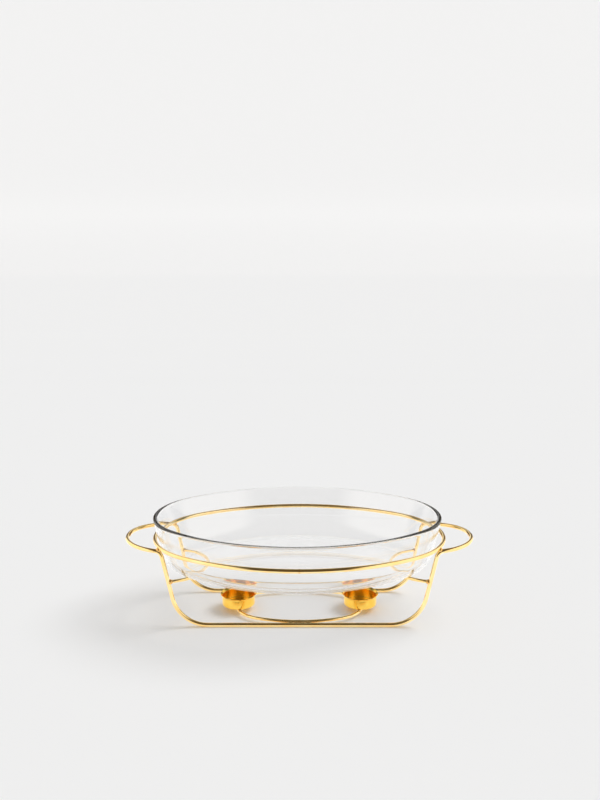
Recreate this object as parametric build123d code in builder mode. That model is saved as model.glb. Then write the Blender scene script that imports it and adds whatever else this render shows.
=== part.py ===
from build123d import *
import os
from math import asin, cos, degrees, hypot, radians, sin, tan

# Oval glass baking dish on a welded wire stand, warmed by two tealights.
# Millimetres. X runs from handle to handle, Y from front to rear, Z up.
# The origin is on the table, in the middle of the stand.

# Glass dish
dish_length = 359.0  # over the rim, along X
dish_width = 255.0  # over the rim, along Y
dish_height = 67.0
dish_end_radius = 95.0  # plan radius of the rim at the two ends
wall_thickness = 5.4  # measured level, at the rim
floor_thickness = 5.0
wall_lean = 13.0  # degrees from upright
base_radius = 28.0  # outside, between wall and floor
rim_radius = 2.5
dish_shift = -2.5  # the loose dish stands this far from the middle, along X
seat_clearance = 0.3  # between the dish and the rests

# Wires
frame_wire = 5.0  # diameter of the leg frames and the dish ring
light_wire = 4.0  # diameter of the dish rests and the burner ring
weld_gap = 0.05  # daylight between two wires that a weld fills

# Dish ring
ring_height = 98.9  # centre line
ring_end_radius = 102.0
ring_end_gap = 3.9  # from the ring to the dish wall, at the two ends
ring_side_gap = 1.2  # the same at front and rear

# Leg frames, front and rear
frame_spacing = 104.8  # between the two wires' centre lines
leg_lean = 12.4  # degrees from upright
foot_radius = 43.5  # from leg to rail
shoulder_radius = 8.5  # from leg to handle
handle_neck = 0.6  # straight, from the shoulder's curve to the handle's
handle_inset = 8.6  # each half handle leans in this much over its reach
handle_rise = 3.2
handle_straight = 2.0  # at the tip, either side of the seam

# Dish rests
rest_height = 57.1  # centre line
rest_reach = 42.0  # from the legs in to the middle of the rest

# Burner ring and candle cups
burner_ring_half_length = 80.0
burner_ring_end_radius = 41.5
burner_ring_lean = 33.0  # degrees round the rail from level to where the ring lies
cup_inset = 2.5  # from the ends of the burner ring in to the cups' axes
cup_bore = 39.8  # a 38 mm tealight drops in
cup_wall = 0.8
cup_height = 14.6
cup_corner = 1.5  # outside radius at the foot of the wall
lip_flare = 2.2  # the lip turns out this far, at 45 degrees
lip_bend = 1.0  # inside radius where it turns
cup_gap = 0.05  # between a cup and the ring under it, filled by the welds

# Welds
ring_bead_proud = 0.8  # bead over ring radius, dish ring on a shoulder
rest_bead_proud = 1.0  # bead over rest radius, rest end on a leg
burner_bead_proud = 0.2  # bead over ring radius, burner ring along a rail
burner_bead_length = 10.0
burner_weld_x = 11.0  # from the middle of the rail to each bead
cup_bead_proud = 0.4  # bead over ring radius, cup on the burner ring
collar_width = 1.6  # butt-weld flash round a wire
collar_height = 0.2
collar_clearance = 0.01  # a collar is straight and its wire is slightly curved

# Worked-out sizes
frame_radius = frame_wire / 2
light_radius = light_wire / 2
frame_y = frame_spacing / 2
handle_curve = frame_y - handle_inset - handle_straight  # from the tip's corner to its end
shoulder_curve = shoulder_radius * tan(radians(90 - leg_lean) / 2)
handle_reach = handle_curve + handle_neck + shoulder_curve  # shoulder out to handle tip
dish_floor = rest_height + light_radius + seat_clearance
wall_slope = tan(radians(wall_lean))
rim_corner = rim_radius * (1 / cos(radians(wall_lean)) + wall_slope - 1)  # before it is rounded
wall_offset_at_ring = (dish_floor + dish_height - ring_height) * wall_slope - rim_corner
ring_half_length = dish_length / 2 - wall_offset_at_ring + ring_end_gap + frame_radius
ring_half_width = dish_width / 2 - wall_offset_at_ring + ring_side_gap + frame_radius
burner_pitch = frame_radius + light_radius + weld_gap
burner_ring_half_width = frame_y - burner_pitch * cos(radians(burner_ring_lean))
burner_ring_height = frame_radius + burner_pitch * sin(radians(burner_ring_lean))
cup_x = burner_ring_half_length - cup_inset
cup_floor = burner_ring_height + light_radius + cup_gap
cup_radius = cup_bore / 2 + cup_wall


def side_radius(half_length, half_width, end_radius):
    # Radius of the two long arcs that run tangent into the end arcs of an oval.
    centre = half_length - end_radius
    return (centre**2 + half_width**2 - end_radius**2) / (2 * (half_width - end_radius))


def oval(half_length, half_width, end_radius, height, middle_x=0):
    # Closed oval of four tangent arcs that starts at the middle of the front.
    long_radius = side_radius(half_length, half_width, end_radius)
    side_turn = degrees(asin((half_length - end_radius) / (long_radius - end_radius)))
    end_turn = 180 - 2 * side_turn
    with BuildLine() as outline:
        arc = JernArc((middle_x, -half_width, height), (1, 0, 0), long_radius, side_turn)
        arc = JernArc(arc @ 1, arc % 1, end_radius, end_turn)
        arc = JernArc(arc @ 1, arc % 1, long_radius, 2 * side_turn)
        arc = JernArc(arc @ 1, arc % 1, end_radius, end_turn)
        JernArc(arc @ 1, arc % 1, long_radius, side_turn)
    return outline.wire()


def frame_path(shoulder_height, side):
    # One leg frame's centre line, from the left handle's tip to the right one's.
    # side is -1 for the front frame and 1 for the rear frame.
    foot_x = shoulder_x - (shoulder_height - frame_radius) * tan(radians(leg_lean))
    tip_x = shoulder_x + handle_reach
    tip_z = shoulder_height + handle_rise
    half = [
        (tip_x, 0, tip_z),
        (tip_x, side * (frame_y - handle_inset), tip_z),
        (shoulder_x, side * frame_y, shoulder_height),
        (foot_x, side * frame_y, frame_radius),
    ]
    left_half = [(-x, y, z) for x, y, z in half]
    handle_turn = 90 - degrees(asin(handle_inset / hypot(handle_reach, handle_inset)))
    handle_radius = handle_curve / tan(radians(handle_turn / 2))
    radii = [handle_radius, shoulder_radius, foot_radius]
    with BuildLine() as centre_line:
        FilletPolyline(*left_half, *reversed(half), radius=radii + radii[::-1])
    return centre_line.wire()


def shoulder_under_ring():
    # Lowers the shoulders until the ring just lies on them.
    meeting = frame_wire + weld_gap
    high = ring_height
    low = ring_height - 3 * frame_wire
    while high - low > 0.001:
        middle = (high + low) / 2
        if ring_path.distance_to(frame_path(middle, -1)) < meeting:
            high = middle
        else:
            low = middle
    return low


def wire_solid(path, radius):
    # Sweeps a round wire along its centre line.
    with BuildPart() as wire:
        with BuildSketch(Plane(path.position_at(0), z_dir=path.tangent_at(0))):
            Circle(radius)
        sweep(path=path)
    return wire.part


def four_corners(point):
    # The same point at the left and right of the front and the rear.
    return [(x, y, point.Z) for x in (-point.X, point.X) for y in (-point.Y, point.Y)]


def collar(point, direction, wire_radius):
    # Butt-weld flash: a thin tube round a wire that runs through a point.
    with BuildPart() as flash:
        with BuildSketch(Plane(point, z_dir=direction)):
            Circle(wire_radius + collar_height)
            Circle(wire_radius + collar_clearance, mode=Mode.SUBTRACT)
        extrude(amount=collar_width / 2, both=True)
    return flash.part


# Centre lines of the wires
ring_path = oval(ring_half_length, ring_half_width, ring_end_radius, ring_height)
ring_end_centre = ring_half_length - ring_end_radius
shoulder_x = ring_end_centre + (ring_end_radius**2 - frame_y**2) ** 0.5
shoulder_height = shoulder_under_ring()
front_path = frame_path(shoulder_height, -1)
rear_path = frame_path(shoulder_height, 1)
rest_x = shoulder_x - (shoulder_height - rest_height) * tan(radians(leg_lean))
burner_path = oval(
    burner_ring_half_length, burner_ring_half_width, burner_ring_end_radius, burner_ring_height
)

os.makedirs("parts", exist_ok=True)

# Leg frames: each one is a single bent wire
with BuildPart() as front_leg_frame:
    add(wire_solid(front_path, frame_radius))
front_leg_frame.part.label = "front_leg_frame"
export_step(front_leg_frame.part, "parts/front_leg_frame.step")

with BuildPart() as rear_leg_frame:
    add(wire_solid(rear_path, frame_radius))
rear_leg_frame.part.label = "rear_leg_frame"
export_step(rear_leg_frame.part, "parts/rear_leg_frame.step")

# Dish ring: lies on the four shoulders
with BuildPart() as dish_ring:
    add(wire_solid(ring_path, frame_radius))
dish_ring.part.label = "dish_ring"
export_step(dish_ring.part, "parts/dish_ring.step")

# Dish rests: bowed wires from front leg to rear leg, their ends coped to the legs
dish_rests = []
for name, side in (("left_dish_rest", -1), ("right_dish_rest", 1)):
    with BuildLine() as rest_path:
        ThreePointArc(
            (side * rest_x, -frame_y, rest_height),
            (side * (rest_x - rest_reach), 0, rest_height),
            (side * rest_x, frame_y, rest_height),
        )
    with BuildPart() as dish_rest:
        add(wire_solid(rest_path.wire(), light_radius))
        add(front_leg_frame.part, mode=Mode.SUBTRACT)
        add(rear_leg_frame.part, mode=Mode.SUBTRACT)
    dish_rest.part.label = name
    export_step(dish_rest.part, f"parts/{name}.step")
    dish_rests.append(dish_rest.part)

# Burner ring: lies against the inner tops of both rails
with BuildPart() as burner_ring:
    add(wire_solid(burner_path, light_radius))
burner_ring.part.label = "burner_ring"
export_step(burner_ring.part, "parts/burner_ring.step")

# Candle cups: pressed sheet with a flared lip
candle_cups = []
lip_edge = cup_wall * sin(radians(45))  # the edge is cut square to the lip
flare_foot = cup_height - lip_edge - lip_flare
for name, side in (("left_candle_cup", -1), ("right_candle_cup", 1)):
    cup_axis = Axis((side * cup_x, 0, cup_floor), (0, 0, 1))
    with BuildPart() as candle_cup:
        profile_plane = Plane(cup_axis.position, x_dir=(1, 0, 0), z_dir=(0, -1, 0))
        with BuildSketch(profile_plane):
            with BuildLine():
                shell = FilletPolyline(
                    (0, 0),
                    (cup_radius, 0),
                    (cup_radius, flare_foot),
                    (cup_radius + lip_flare, flare_foot + lip_flare),
                    radius=[cup_corner, lip_bend + cup_wall],
                )
                lining = FilletPolyline(
                    (0, cup_wall),
                    (cup_bore / 2, cup_wall),
                    (cup_bore / 2, flare_foot + 2 * lip_edge - cup_wall),
                    (cup_radius + lip_flare - lip_edge, cup_height),
                    radius=[cup_corner - cup_wall, lip_bend],
                )
                Line(shell @ 1, lining @ 1)
                Line(shell @ 0, lining @ 0)
            make_face()
        revolve(axis=cup_axis)
    candle_cup.part.label = name
    export_step(candle_cup.part, f"parts/{name}.step")
    candle_cups.append(candle_cup.part)

# Glass dish: its wall profile follows the oval, and a flat plate closes the floor
wall_run = dish_height * wall_slope
floor_inset = wall_run + base_radius + wall_thickness
outer_corner = dish_width / 2 + rim_corner
inner_corner = outer_corner - wall_thickness
with BuildPart() as glass_dish:
    profile_plane = Plane((dish_shift, 0, dish_floor), x_dir=(0, -1, 0), z_dir=(-1, 0, 0))
    with BuildSketch(profile_plane) as wall_profile:
        with BuildLine():
            Polyline(
                (dish_width / 2 - floor_inset, 0),
                (outer_corner - wall_run, 0),
                (outer_corner, dish_height),
                (inner_corner, dish_height),
                (inner_corner - (dish_height - floor_thickness) * wall_slope, floor_thickness),
                (dish_width / 2 - floor_inset, floor_thickness),
                close=True,
            )
        make_face()
        fillet(wall_profile.vertices().group_by(Axis.Y)[-1], rim_radius)
        for level, radius in ((1, base_radius - floor_thickness), (0, base_radius)):
            fillet(wall_profile.vertices().group_by(Axis.Y)[level].sort_by(Axis.X)[-1], radius)
    sweep(
        path=oval(dish_length / 2, dish_width / 2, dish_end_radius, dish_floor, dish_shift),
    )
    with BuildSketch(Plane.XY.offset(dish_floor)):
        make_face(
            oval(
                dish_length / 2 - floor_inset,
                dish_width / 2 - floor_inset,
                dish_end_radius - floor_inset,
                0,
                dish_shift,
            )
        )
    extrude(amount=floor_thickness)
glass_dish.part.label = "glass_dish"
export_step(glass_dish.part, "parts/glass_dish.step")

# Ring welds: beads in the crossings of the ring and the shoulders
_, ring_touch, shoulder_touch = ring_path.distance_to_with_closest_points(front_path)
with BuildPart() as ring_welds:
    with Locations(four_corners((ring_touch + shoulder_touch) / 2)):
        Sphere(frame_radius + ring_bead_proud)
    add(dish_ring.part, mode=Mode.SUBTRACT)
    add(front_leg_frame.part, mode=Mode.SUBTRACT)
    add(rear_leg_frame.part, mode=Mode.SUBTRACT)
ring_welds.part.label = "ring_welds"
export_step(ring_welds.part, "parts/ring_welds.step")

# Rest welds: a bead round each end of a rest, on the leg's surface
with BuildPart() as rest_welds:
    with Locations(four_corners(Vector(rest_x - frame_radius, frame_y, rest_height))):
        Sphere(light_radius + rest_bead_proud)
    for solid in (front_leg_frame.part, rear_leg_frame.part, *dish_rests):
        add(solid, mode=Mode.SUBTRACT)
rest_welds.part.label = "rest_welds"
export_step(rest_welds.part, "parts/rest_welds.step")

# Seams: flash where the wires' ends were butted and welded
handle_tip = front_path.position_at(0)
with BuildPart() as handle_seams:
    for side in (-1, 1):
        add(collar((side * handle_tip.X, 0, handle_tip.Z), (0, 1, 0), frame_radius))
handle_seams.part.label = "handle_seams"
export_step(handle_seams.part, "parts/handle_seams.step")

with BuildPart() as dish_ring_seam:
    add(collar((0, -ring_half_width, ring_height), (1, 0, 0), frame_radius))
dish_ring_seam.part.label = "dish_ring_seam"
export_step(dish_ring_seam.part, "parts/dish_ring_seam.step")

with BuildPart() as burner_ring_seam:
    add(collar((0, -burner_ring_half_width, burner_ring_height), (1, 0, 0), light_radius))
    add(front_leg_frame.part, mode=Mode.SUBTRACT)
burner_ring_seam.part.label = "burner_ring_seam"
export_step(burner_ring_seam.part, "parts/burner_ring_seam.step")

# Burner ring welds: long beads in the groove between the ring and each rail
groove_reach = (frame_radius + weld_gap / 2) / burner_pitch
burner_touch = Vector(
    burner_weld_x,
    frame_y + (burner_ring_half_width - frame_y) * groove_reach,
    frame_radius + (burner_ring_height - frame_radius) * groove_reach,
)
with BuildPart() as burner_ring_welds:
    for point in four_corners(burner_touch):
        with BuildSketch(Plane(point, z_dir=(0, 0, 1))):
            Ellipse(burner_bead_length / 2, light_radius + burner_bead_proud)
            Rectangle(
                burner_bead_length,
                light_radius + burner_bead_proud,
                align=(Align.CENTER, Align.MIN),
                mode=Mode.INTERSECT,
            )
        revolve(axis=Axis(point, (1, 0, 0)))
    for solid in (front_leg_frame.part, rear_leg_frame.part, burner_ring.part):
        add(solid, mode=Mode.SUBTRACT)
burner_ring_welds.part.label = "burner_ring_welds"
export_step(burner_ring_welds.part, "parts/burner_ring_welds.step")

# Cup welds: beads where the burner ring comes out from under each cup
burner_end_centre = burner_ring_half_length - burner_ring_end_radius
axis_distance = cup_x - burner_end_centre
weld_radius = cup_radius + cup_wall / 2  # clear of the cup's inside
weld_out = (burner_ring_end_radius**2 - weld_radius**2 + axis_distance**2) / (2 * axis_distance)
cup_weld = Vector(
    burner_end_centre + weld_out,
    (burner_ring_end_radius**2 - weld_out**2) ** 0.5,
    burner_ring_height + light_radius / 2,
)
with BuildPart() as cup_welds:
    with Locations(four_corners(cup_weld)):
        Sphere(light_radius + cup_bead_proud)
    for solid in (burner_ring.part, *candle_cups):
        add(solid, mode=Mode.SUBTRACT)
cup_welds.part.label = "cup_welds"
export_step(cup_welds.part, "parts/cup_welds.step")
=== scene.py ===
import math

import bmesh
import bpy
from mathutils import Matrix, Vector


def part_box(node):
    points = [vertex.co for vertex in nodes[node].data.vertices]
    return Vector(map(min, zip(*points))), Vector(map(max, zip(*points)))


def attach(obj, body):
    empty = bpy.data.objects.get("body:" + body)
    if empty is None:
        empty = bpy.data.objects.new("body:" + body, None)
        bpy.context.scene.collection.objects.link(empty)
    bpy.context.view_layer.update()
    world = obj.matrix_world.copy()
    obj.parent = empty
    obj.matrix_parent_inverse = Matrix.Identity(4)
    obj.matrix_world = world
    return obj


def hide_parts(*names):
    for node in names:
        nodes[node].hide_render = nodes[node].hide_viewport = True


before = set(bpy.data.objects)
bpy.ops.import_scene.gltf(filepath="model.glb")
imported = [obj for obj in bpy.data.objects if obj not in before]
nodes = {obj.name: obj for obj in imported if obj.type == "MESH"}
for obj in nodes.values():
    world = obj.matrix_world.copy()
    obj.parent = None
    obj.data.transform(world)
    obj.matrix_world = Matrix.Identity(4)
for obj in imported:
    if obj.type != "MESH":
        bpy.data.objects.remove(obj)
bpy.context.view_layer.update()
print("frame loaded with", len(nodes), "nodes")

mm = 0.001
sameSpot = 0.001 * mm  # two values nearer than this are taken as the same


def linear(hexColour):
    # sRGB hex to the linear colour that shaders take
    values = [int(hexColour[i:i + 2], 16) / 255 for i in (1, 3, 5)]
    return [v / 12.92 if v <= 0.04045 else ((v + 0.055) / 1.055) ** 2.4 for v in values] + [1]


def addNode(tree, kind, inputs=None, links=None, **settings):
    made = tree.nodes.new(kind)
    for name, value in settings.items():
        setattr(made, name, value)
    for name, value in (inputs or {}).items():
        made.inputs[name].default_value = value
    for name, source in (links or {}).items():
        tree.links.new(source, made.inputs[name])
    return made


def newMaterial(name):
    made = bpy.data.materials.new(name)
    made.use_nodes = True
    return made, made.node_tree, made.node_tree.nodes["Principled BSDF"]


def perMetre(size):
    # noise scale for features of this size in metres
    return 1 / size


def paint(nodeName, material):
    for slot in nodes[nodeName].material_slots:
        slot.material = material


def platedBrass(name, f):
    # Brass plating on steel, polished: a mirror with faint haze where hands and the
    # polishing wheel have been, and a slightly deeper gold in broad patches.
    made, tree, shader = newMaterial(name)
    place = addNode(tree, "ShaderNodeTexCoord").outputs["Object"]
    patches = addNode(
        tree, "ShaderNodeTexNoise", {"Scale": perMetre(f["patch"]), "Detail": 2.0}, {"Vector": place},
    )
    tint = addNode(tree, "ShaderNodeValToRGB", links={"Fac": patches.outputs["Fac"]})
    # most of the noise lies between these shares, so both golds are reached
    for stop, share, colour in zip(tint.color_ramp.elements, (0.35, 0.65), (f["deepTone"], f["tone"])):
        stop.position = share
        stop.color = linear(colour)
    haze = addNode(
        tree, "ShaderNodeTexNoise", {"Scale": perMetre(f["haze"]), "Detail": 4.0}, {"Vector": place},
    )
    rough = addNode(
        tree, "ShaderNodeMapRange",
        {"From Min": 0.3, "From Max": 0.7, "To Min": f["smoothest"], "To Max": f["roughest"]},
        {"Value": haze.outputs["Fac"]},
    )
    ripple = addNode(
        tree, "ShaderNodeTexNoise", {"Scale": perMetre(f["ripple"]), "Detail": 3.0}, {"Vector": place},
    )
    bump = addNode(
        tree, "ShaderNodeBump",
        {"Strength": f["strength"], "Distance": f["depth"]}, {"Height": ripple.outputs["Fac"]},
    )
    shader.inputs["Metallic"].default_value = 1
    tree.links.new(tint.outputs["Color"], shader.inputs["Base Color"])
    tree.links.new(rough.outputs["Result"], shader.inputs["Roughness"])
    tree.links.new(bump.outputs["Normal"], shader.inputs["Normal"])
    return made


# sizes are those of the patches of colour, the patches of haze and the ripples under the plating
wireFinish = {  # drawn wire under bright plating
    "tone": "#FFE5A8",
    "deepTone": "#FFDA90",
    "patch": 25 * mm,
    "haze": 3 * mm,
    "smoothest": 0.02,
    "roughest": 0.07,
    "ripple": 1.2 * mm,
    "depth": 0.02 * mm,
    "strength": 0.08,
}
polishedWire = platedBrass("brassPlatedWire", wireFinish)

weldFinish = {  # beads and seams: lumpy under the plating, so duller and a deeper gold
    "tone": "#F2C882",
    "deepTone": "#DDA85C",
    "patch": 2 * mm,
    "haze": 1 * mm,
    "smoothest": 0.14,
    "roughest": 0.3,
    "ripple": 0.9 * mm,
    "depth": 0.1 * mm,
    "strength": 0.4,
}
weldMetal = platedBrass("platedWeldBead", weldFinish)

cupFinish = {  # thin pressed sheet, less smooth than drawn wire, so it mirrors softly
    "tone": "#FFD566",
    "deepTone": "#FCC952",
    "patch": 12 * mm,
    "haze": 2 * mm,
    "smoothest": 0.15,
    "roughest": 0.26,
    "ripple": 2.5 * mm,
    "depth": 0.03 * mm,
    "strength": 0.12,
}
pressedCup = platedBrass("brassPlatedPressedSheet", cupFinish)

glassFinish = {
    "tone": "#FEFEFE",
    "shade": "#E9E9E9",  # what each surface lets through to the paper
    "index": 1.474,  # refractive index
    "wave": 60 * mm,
    "waveDepth": 0.3 * mm,
    "waveStrength": 0.03,
    "smear": 15 * mm,
    "smearRoughness": 0.005,
}


def clearGlass(name, g):
    # Borosilicate glass, pressed in a mould and fire polished: clear, with a surface that
    # is very slightly wavy. Each surface takes a little of the light that goes through to
    # the paper, which gives the dish its pale grey shadow.
    made, tree, shader = newMaterial(name)
    place = addNode(tree, "ShaderNodeTexCoord").outputs["Object"]
    wave = addNode(
        tree, "ShaderNodeTexNoise", {"Scale": perMetre(g["wave"]), "Detail": 1.0}, {"Vector": place},
    )
    bump = addNode(
        tree, "ShaderNodeBump",
        {"Strength": g["waveStrength"], "Distance": g["waveDepth"]}, {"Height": wave.outputs["Fac"]},
    )
    smear = addNode(
        tree, "ShaderNodeTexNoise", {"Scale": perMetre(g["smear"]), "Detail": 3.0}, {"Vector": place},
    )
    rough = addNode(
        tree, "ShaderNodeMapRange",
        {"From Min": 0.45, "From Max": 0.8, "To Min": 0.0, "To Max": g["smearRoughness"]},
        {"Value": smear.outputs["Fac"]},
    )
    shader.inputs["Base Color"].default_value = linear(g["tone"])
    shader.inputs["Transmission Weight"].default_value = 1
    shader.inputs["IOR"].default_value = g["index"]
    tree.links.new(rough.outputs["Result"], shader.inputs["Roughness"])
    tree.links.new(bump.outputs["Normal"], shader.inputs["Normal"])
    path = addNode(tree, "ShaderNodeLightPath")
    through = addNode(tree, "ShaderNodeBsdfTransparent", {"Color": linear(g["shade"])})
    mixed = addNode(
        tree, "ShaderNodeMixShader",
        links={0: path.outputs["Is Shadow Ray"], 1: shader.outputs[0], 2: through.outputs[0]},
    )
    tree.links.new(mixed.outputs[0], tree.nodes["Material Output"].inputs["Surface"])
    return made


dishGlass = clearGlass("pressedBorosilicateGlass", glassFinish)

glassDish = {
    "endRadius": 95 * mm,  # plan radius of the rim at the two ends
    "wall": 5.4 * mm,
    "floor": 5 * mm,
    "lean": 13,  # degrees from upright
    "baseRadius": 28 * mm,  # outside, between the wall and the floor
    "rimRadius": 2.5 * mm,
    "wallSupport": 1.5 * mm,  # from each end of a straight wall to the row of vertices beside it
    "flatRing": 3 * mm,  # flat glass kept inside the base curve, so that its shading stays flat
    "cornerSteps": 18,
    "rimSteps": 8,
    "merge": 0.01 * mm,
    "sideSteps": 36,  # from the middle of a side to where the end curve starts
    "endSteps": 64,
}


def roundCorner(profile, corner, radius, turn, steps):
    bmesh.ops.bevel(
        profile, geom=[corner], offset=radius * math.tan(math.radians(turn) / 2), offset_type="OFFSET",
        segments=steps, profile=0.5, affect="VERTICES", material=-1, clamp_overlap=False,
    )


def makeDish(d):
    low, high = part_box("glass_dish")
    middle = (low + high) / 2
    halfLength, halfWidth = (high.x - low.x) / 2, (high.y - low.y) / 2
    slope = math.tan(math.radians(d["lean"]))
    height = high.z - low.z
    # the rim's outer corner is sharp here and stands proud until it is rounded
    corner = -d["rimRadius"] * (1 / math.cos(math.radians(d["lean"])) + slope - 1)
    floorInset = height * slope + d["baseRadius"] + d["wall"] + d["flatRing"]
    front = -halfWidth
    # of the section: inset from the rim, height, radius, the turn of its line there, steps
    corners = [
        (floorInset, 0, 0, 0, 1),
        (corner + height * slope, 0, d["baseRadius"], 90 - d["lean"], d["cornerSteps"]),
        (corner, height, d["rimRadius"], 90 + d["lean"], d["rimSteps"]),
        (corner + d["wall"], height, d["rimRadius"], 90 - d["lean"], d["rimSteps"]),
        (corner + d["wall"] + (height - d["floor"]) * slope, d["floor"], d["baseRadius"] - d["floor"],
         90 - d["lean"], d["cornerSteps"]),
        (floorInset, d["floor"], 0, 0, 1),
    ]
    mesh = bmesh.new()
    verts = [mesh.verts.new((0, front + inset, up)) for inset, up, _, _, _ in corners]
    mesh.faces.new(verts)
    for vert, (_, _, radius, turn, steps) in zip(verts, corners):
        if radius:
            roundCorner(mesh, vert, radius, turn, steps)
    # a row of vertices beside each end of the long straight walls keeps their shading straight
    walls = [e for e in mesh.edges if abs(e.verts[0].co.z - e.verts[1].co.z) > height / 3]
    for wall in walls:
        for end in list(wall.verts):
            _, added = bmesh.utils.edge_split(wall, end, d["wallSupport"] / wall.calc_length())
            wall = next(e for e in added.link_edges if e.other_vert(added) is not end)
    # only the section's line is spun, without the edge that closed it at the floor's inner end
    inner = max(v.co.y for v in mesh.verts)
    bmesh.ops.delete(mesh, geom=list(mesh.faces), context="FACES_ONLY")
    bmesh.ops.delete(
        mesh, geom=[e for e in mesh.edges if all(abs(v.co.y - inner) < sameSpot for v in e.verts)],
        context="EDGES",
    )
    # four tangent arcs carry the section round the oval, from the middle of its front side
    endCentre = halfLength - d["endRadius"]
    bulge = halfWidth - d["endRadius"]
    sideRadius = (endCentre ** 2 + halfWidth ** 2 - d["endRadius"] ** 2) / (2 * bulge)
    sideTurn = math.asin(endCentre / (sideRadius - d["endRadius"]))
    sideCentre = sideRadius - halfWidth
    arcs = [
        ((0, sideCentre, 0), sideTurn, d["sideSteps"]),
        ((endCentre, 0, 0), math.pi - 2 * sideTurn, d["endSteps"]),
        ((0, -sideCentre, 0), 2 * sideTurn, 2 * d["sideSteps"]),
        ((-endCentre, 0, 0), math.pi - 2 * sideTurn, d["endSteps"]),
        ((0, sideCentre, 0), sideTurn, d["sideSteps"]),
    ]
    last = list(mesh.verts) + list(mesh.edges)
    for centre, turn, steps in arcs:
        last = bmesh.ops.spin(
            mesh, geom=last, cent=centre, axis=(0, 0, 1), angle=turn, steps=steps, use_duplicate=False,
        )["geom_last"]
    bmesh.ops.remove_doubles(mesh, verts=mesh.verts, dist=d["merge"])
    edges = [e for e in mesh.edges if e.is_boundary]
    for level in (0, d["floor"]):
        loop = [e for e in edges if all(abs(v.co.z - level) < sameSpot for v in e.verts)]
        bmesh.ops.edgeloop_fill(mesh, edges=loop)
    bmesh.ops.recalc_face_normals(mesh, faces=mesh.faces)
    # the dish stands a little to one side of the stand's middle
    bmesh.ops.translate(mesh, verts=mesh.verts, vec=(middle.x, middle.y, low.z))
    return mesh


def addObject(name, mesh, material):
    data = bpy.data.meshes.new(name)
    mesh.to_mesh(data)
    mesh.free()
    data.shade_smooth()
    data.materials.append(material)
    added = bpy.data.objects.new(name, data)
    bpy.context.scene.collection.objects.link(added)
    return added


def finishPiece(name, mesh, material, body, slot, *stoodFor):
    piece = addObject(name, mesh, material)
    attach(piece, body)
    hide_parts(*stoodFor)
    print(name, "made with", len(piece.data.polygons), "faces")
    return piece


dish = finishPiece("ovalGlassDish", makeDish(glassDish), dishGlass, "dish", "dish_glass", "glass_dish")
dish.visible_diffuse = False  # clear glass: the room's light reaches the paper under it

finishes = {
    polishedWire: (
        "front_leg_frame", "rear_leg_frame", "dish_ring", "left_dish_rest", "right_dish_rest", "burner_ring",
    ),
    pressedCup: ("left_candle_cup", "right_candle_cup"),
    weldMetal: (
        "ring_welds", "rest_welds", "handle_seams", "dish_ring_seam", "burner_ring_seam",
        "burner_ring_welds", "cup_welds",
    ),
}
for finish, names in finishes.items():
    for name in names:
        paint(name, finish)
print("stand painted")

# the studio, in metres
studio = {
    "paper": "#F4F4F4",
    "near": (0.8, -0.45, 0.5),  # half width, front and back of the sheet that the metal mirrors
    "far": (5.0, -3.0, 2.4),  # the same of the sweep around it; it turns up at the back
    "bend": 1.0,  # radius
    "bendSteps": 24,
    "wallTop": 4.0,
    "ambient": 0.543,  # the even light on the paper
    # a painted reflection: a glow on the paper that only polished metal mirrors
    "paintedReflectionGlow": 0.3,
    "keyFrom": (0.72, 0.22, 1.0),
    "keyStrength": 1.55,
    "keySpread": 34,  # degrees across; a wide source has a soft shadow
    # Each pair below is where a fade starts and where it is full, as a share of a ray's direction.
    # What polished metal mirrors: the dim room, the lit diffusers and the backdrop behind
    "around": "#5E5242",
    "diffuser": "#FFFAF2",
    "diffuserPower": 1.3,
    "diffuserEdge": (0.42, 0.66),
    "backdropSide": (0.2, 0.12),
    "backdropDepth": (0.5, 0.8),
    # What the glass bends into its edges: pale ahead, with dark sides and a dark ceiling
    "ahead": "#F2F2F2",
    "aside": "#2F4653",
    "darkSide": (0.5, 0.85),
    "darkCeiling": (0.5, 0.65),
    "rearHalf": (-0.15, 0.1),  # where the front half of the room gives way to the rear half
}


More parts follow.
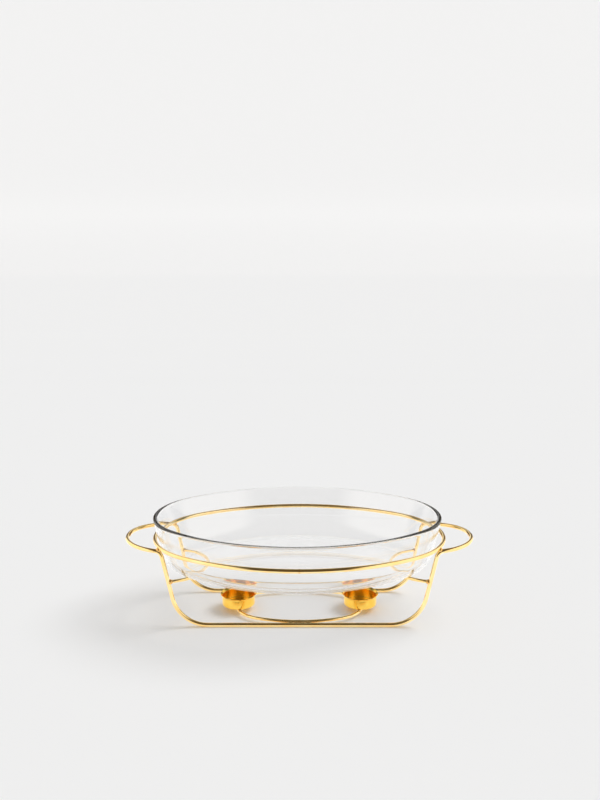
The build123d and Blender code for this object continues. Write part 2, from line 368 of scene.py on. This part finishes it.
def mattPaper(s):
    # Seamless paper: matt, with a fibre too fine to see as more than an even tooth. It also carries painted
    # light: a glow where it turns up, and a faint glow that only polished metal sees.
    made, tree, shader = newMaterial("mattSeamlessPaper")
    place = addNode(tree, "ShaderNodeTexCoord").outputs["Object"]
    fibre = addNode(
        tree, "ShaderNodeTexNoise", {"Scale": perMetre(0.6 * mm), "Detail": 2.0}, {"Vector": place},
    )
    bump = addNode(
        tree, "ShaderNodeBump", {"Strength": 0.05, "Distance": 0.05 * mm}, {"Height": fibre.outputs["Fac"]},
    )
    shader.inputs["Base Color"].default_value = linear(s["paper"])
    shader.inputs["Roughness"].default_value = 0.95
    shader.inputs["Specular IOR Level"].default_value = 0.0
    tree.links.new(bump.outputs["Normal"], shader.inputs["Normal"])
    # where the paper turns up it loses the key light; a painted glow in its place keeps it as bright as the
    # flat paper
    keyWay = Vector(s["keyFrom"]).normalized()
    keyShare = s["keyStrength"] / math.pi * linear(s["paper"])[0]
    facing = addNode(tree, "ShaderNodeNewGeometry").outputs["Normal"]
    keyed = addNode(
        tree, "ShaderNodeVectorMath", {1: keyWay}, {0: facing}, operation="DOT_PRODUCT",
    ).outputs["Value"]
    paintedGlow = addNode(
        tree, "ShaderNodeMapRange",
        {"From Min": 0.0, "From Max": keyWay.z, "To Min": keyShare * keyWay.z, "To Max": 0.0},
        {"Value": keyed},
    ).outputs["Result"]
    # painted reflection: for glossy rays only the paper glows a little, so polished metal mirrors it
    # brighter than it looks, as if under a front light
    path = addNode(tree, "ShaderNodeLightPath")
    bounced = addNode(
        tree, "ShaderNodeMath", operation="SUBTRACT", use_clamp=True,
        links={0: path.outputs["Is Glossy Ray"], 1: path.outputs["Is Transmission Ray"]},
    ).outputs[0]
    paintedReflection = addNode(
        tree, "ShaderNodeMath", {1: s["paintedReflectionGlow"]}, {0: bounced, 2: paintedGlow}, operation="MULTIPLY_ADD",
    )
    shader.inputs["Emission Color"].default_value = linear("#FFFFFF")
    tree.links.new(paintedReflection.outputs[0], shader.inputs["Emission Strength"])
    return made


def stagePaper(name, mesh, material, mirrored):
    # only the sheet under the stand is mirrored, lights what stands on it or casts a shadow
    paper = addObject(name, mesh, material)
    paper.visible_glossy = mirrored
    paper.visible_diffuse = mirrored
    paper.visible_shadow = mirrored


def makePapers(s):
    material = mattPaper(s)
    half, front, back = s["near"]
    corners = ((-half, front, 0), (half, front, 0), (half, back, 0), (-half, back, 0))
    mesh = bmesh.new()
    mesh.faces.new([mesh.verts.new(c) for c in corners])
    stagePaper("nearPaper", mesh, material, True)

    # the sweep: strips of floor round the near sheet, then the bend and the wall
    wide, start, end = s["far"]
    mesh = bmesh.new()
    xs = (-wide, -half, half, wide)
    ys = (start, front, back, end)
    grid = [[mesh.verts.new((x, y, 0)) for x in xs] for y in ys]
    for j in range(3):
        for i in range(3):
            if (i, j) != (1, 1):
                mesh.faces.new((grid[j][i], grid[j][i + 1], grid[j + 1][i + 1], grid[j + 1][i]))
    edge = [e for e in mesh.edges if all(v in grid[3] for v in e.verts)]
    turned = bmesh.ops.spin(
        mesh, geom=grid[3] + edge,
        cent=(0, end, s["bend"]), axis=(1, 0, 0), angle=math.pi / 2, steps=s["bendSteps"],
    )["geom_last"]
    ends = [g for g in turned if isinstance(g, bmesh.types.BMEdge)]
    wall = bmesh.ops.extrude_edge_only(mesh, edges=ends)["geom"]
    top = [v for v in wall if isinstance(v, bmesh.types.BMVert)]
    bmesh.ops.translate(mesh, verts=top, vec=(0, 0, s["wallTop"] - s["bend"]))
    bmesh.ops.recalc_face_normals(mesh, faces=mesh.faces)
    stagePaper("paperSweep", mesh, material, False)


makePapers(studio)

# A distant soft key, high on the right and a little behind, throws the shadow to the left
light = bpy.data.lights.new("keyLight", "SUN")
light.energy = studio["keyStrength"]
light.angle = math.radians(studio["keySpread"])
lamp = bpy.data.objects.new("keyLight", light)
lamp.location = studio["keyFrom"]
lamp.rotation_euler = (-lamp.location).to_track_quat("-Z", "Y").to_euler()
lamp.visible_glossy = False
lamp.visible_transmission = False
bpy.context.scene.collection.objects.link(lamp)


def roomLight(s):
    # The room as each kind of ray sees it: an even white for the paper; dark, with a tall lit
    # diffuser on either side and a strip of pale backdrop behind, for what the metal and the
    # glass mirror; pale, with dark sides and ceiling, for what the glass bends into its edges.
    world = bpy.data.worlds.new("studioRoom")
    bpy.context.scene.world = world
    world.use_nodes = True
    tree = world.node_tree
    tree.nodes.clear()
    way = addNode(tree, "ShaderNodeTexCoord").outputs["Generated"]
    parts = addNode(tree, "ShaderNodeSeparateXYZ", links={"Vector": way})
    sideways = addNode(tree, "ShaderNodeMath", operation="ABSOLUTE", links={0: parts.outputs["X"]})

    def fade(source, start, end):
        return addNode(
            tree, "ShaderNodeMapRange", {"From Min": start, "From Max": end}, {"Value": source},
            interpolation_type="SMOOTHSTEP",
        ).outputs["Result"]

    def blend(share, first, second):
        return addNode(tree, "ShaderNodeMixShader", links={0: share, 1: first, 2: second}).outputs[0]

    def tone(colour, power=1.0):
        made = addNode(tree, "ShaderNodeBackground", {"Color": linear(colour), "Strength": power})
        return made.outputs[0]

    aside, behind, up = sideways.outputs[0], parts.outputs["Y"], parts.outputs["Z"]
    backdrop = addNode(
        tree, "ShaderNodeMath", operation="MULTIPLY",
        links={0: fade(aside, *s["backdropSide"]), 1: fade(behind, *s["backdropDepth"])},
    ).outputs[0]
    around = tone(s["around"])
    inFront = blend(fade(aside, *s["diffuserEdge"]), around, tone(s["diffuser"], s["diffuserPower"]))
    mirrored = blend(backdrop, inFront, tone(s["ahead"]))
    refracted = blend(fade(aside, *s["darkSide"]), tone(s["ahead"]), tone(s["aside"]))
    refracted = blend(fade(up, *s["darkCeiling"]), refracted, tone(s["aside"]))
    refracted = blend(fade(behind, *s["rearHalf"]), inFront, refracted)
    # the paper and the view itself have the even white
    path = addNode(tree, "ShaderNodeLightPath")
    plain = addNode(
        tree, "ShaderNodeMath", operation="MAXIMUM",
        links={0: path.outputs["Is Camera Ray"], 1: path.outputs["Is Diffuse Ray"]},
    )
    polished = blend(path.outputs["Is Transmission Ray"], mirrored, refracted)
    mixed = blend(plain.outputs[0], polished, tone("#FFFFFF", s["ambient"]))
    addNode(tree, "ShaderNodeOutputWorld", links={"Surface": mixed})


roomLight(studio)
print("studio lit")

view = {
    "at": (0.0008, -0.926, 0.412),
    "down": 8.72,  # degrees below level
    "sensor": 36,
    "lens": 34.38,
}
camera = bpy.data.objects.new("camera", bpy.data.cameras.new("camera"))
camera.location = view["at"]
camera.rotation_euler = (math.radians(90 - view["down"]), 0, 0)
camera.data.sensor_width = view["sensor"]
camera.data.lens = view["lens"]
bpy.context.scene.collection.objects.link(camera)
bpy.context.scene.camera = camera
bpy.context.scene.view_settings.view_transform = "Standard"
# light that runs along inside the glass needs many turns to come out again at the rim
cycles = bpy.context.scene.cycles
cycles.max_bounces = 40
cycles.glossy_bounces = 32
cycles.transmission_bounces = 32
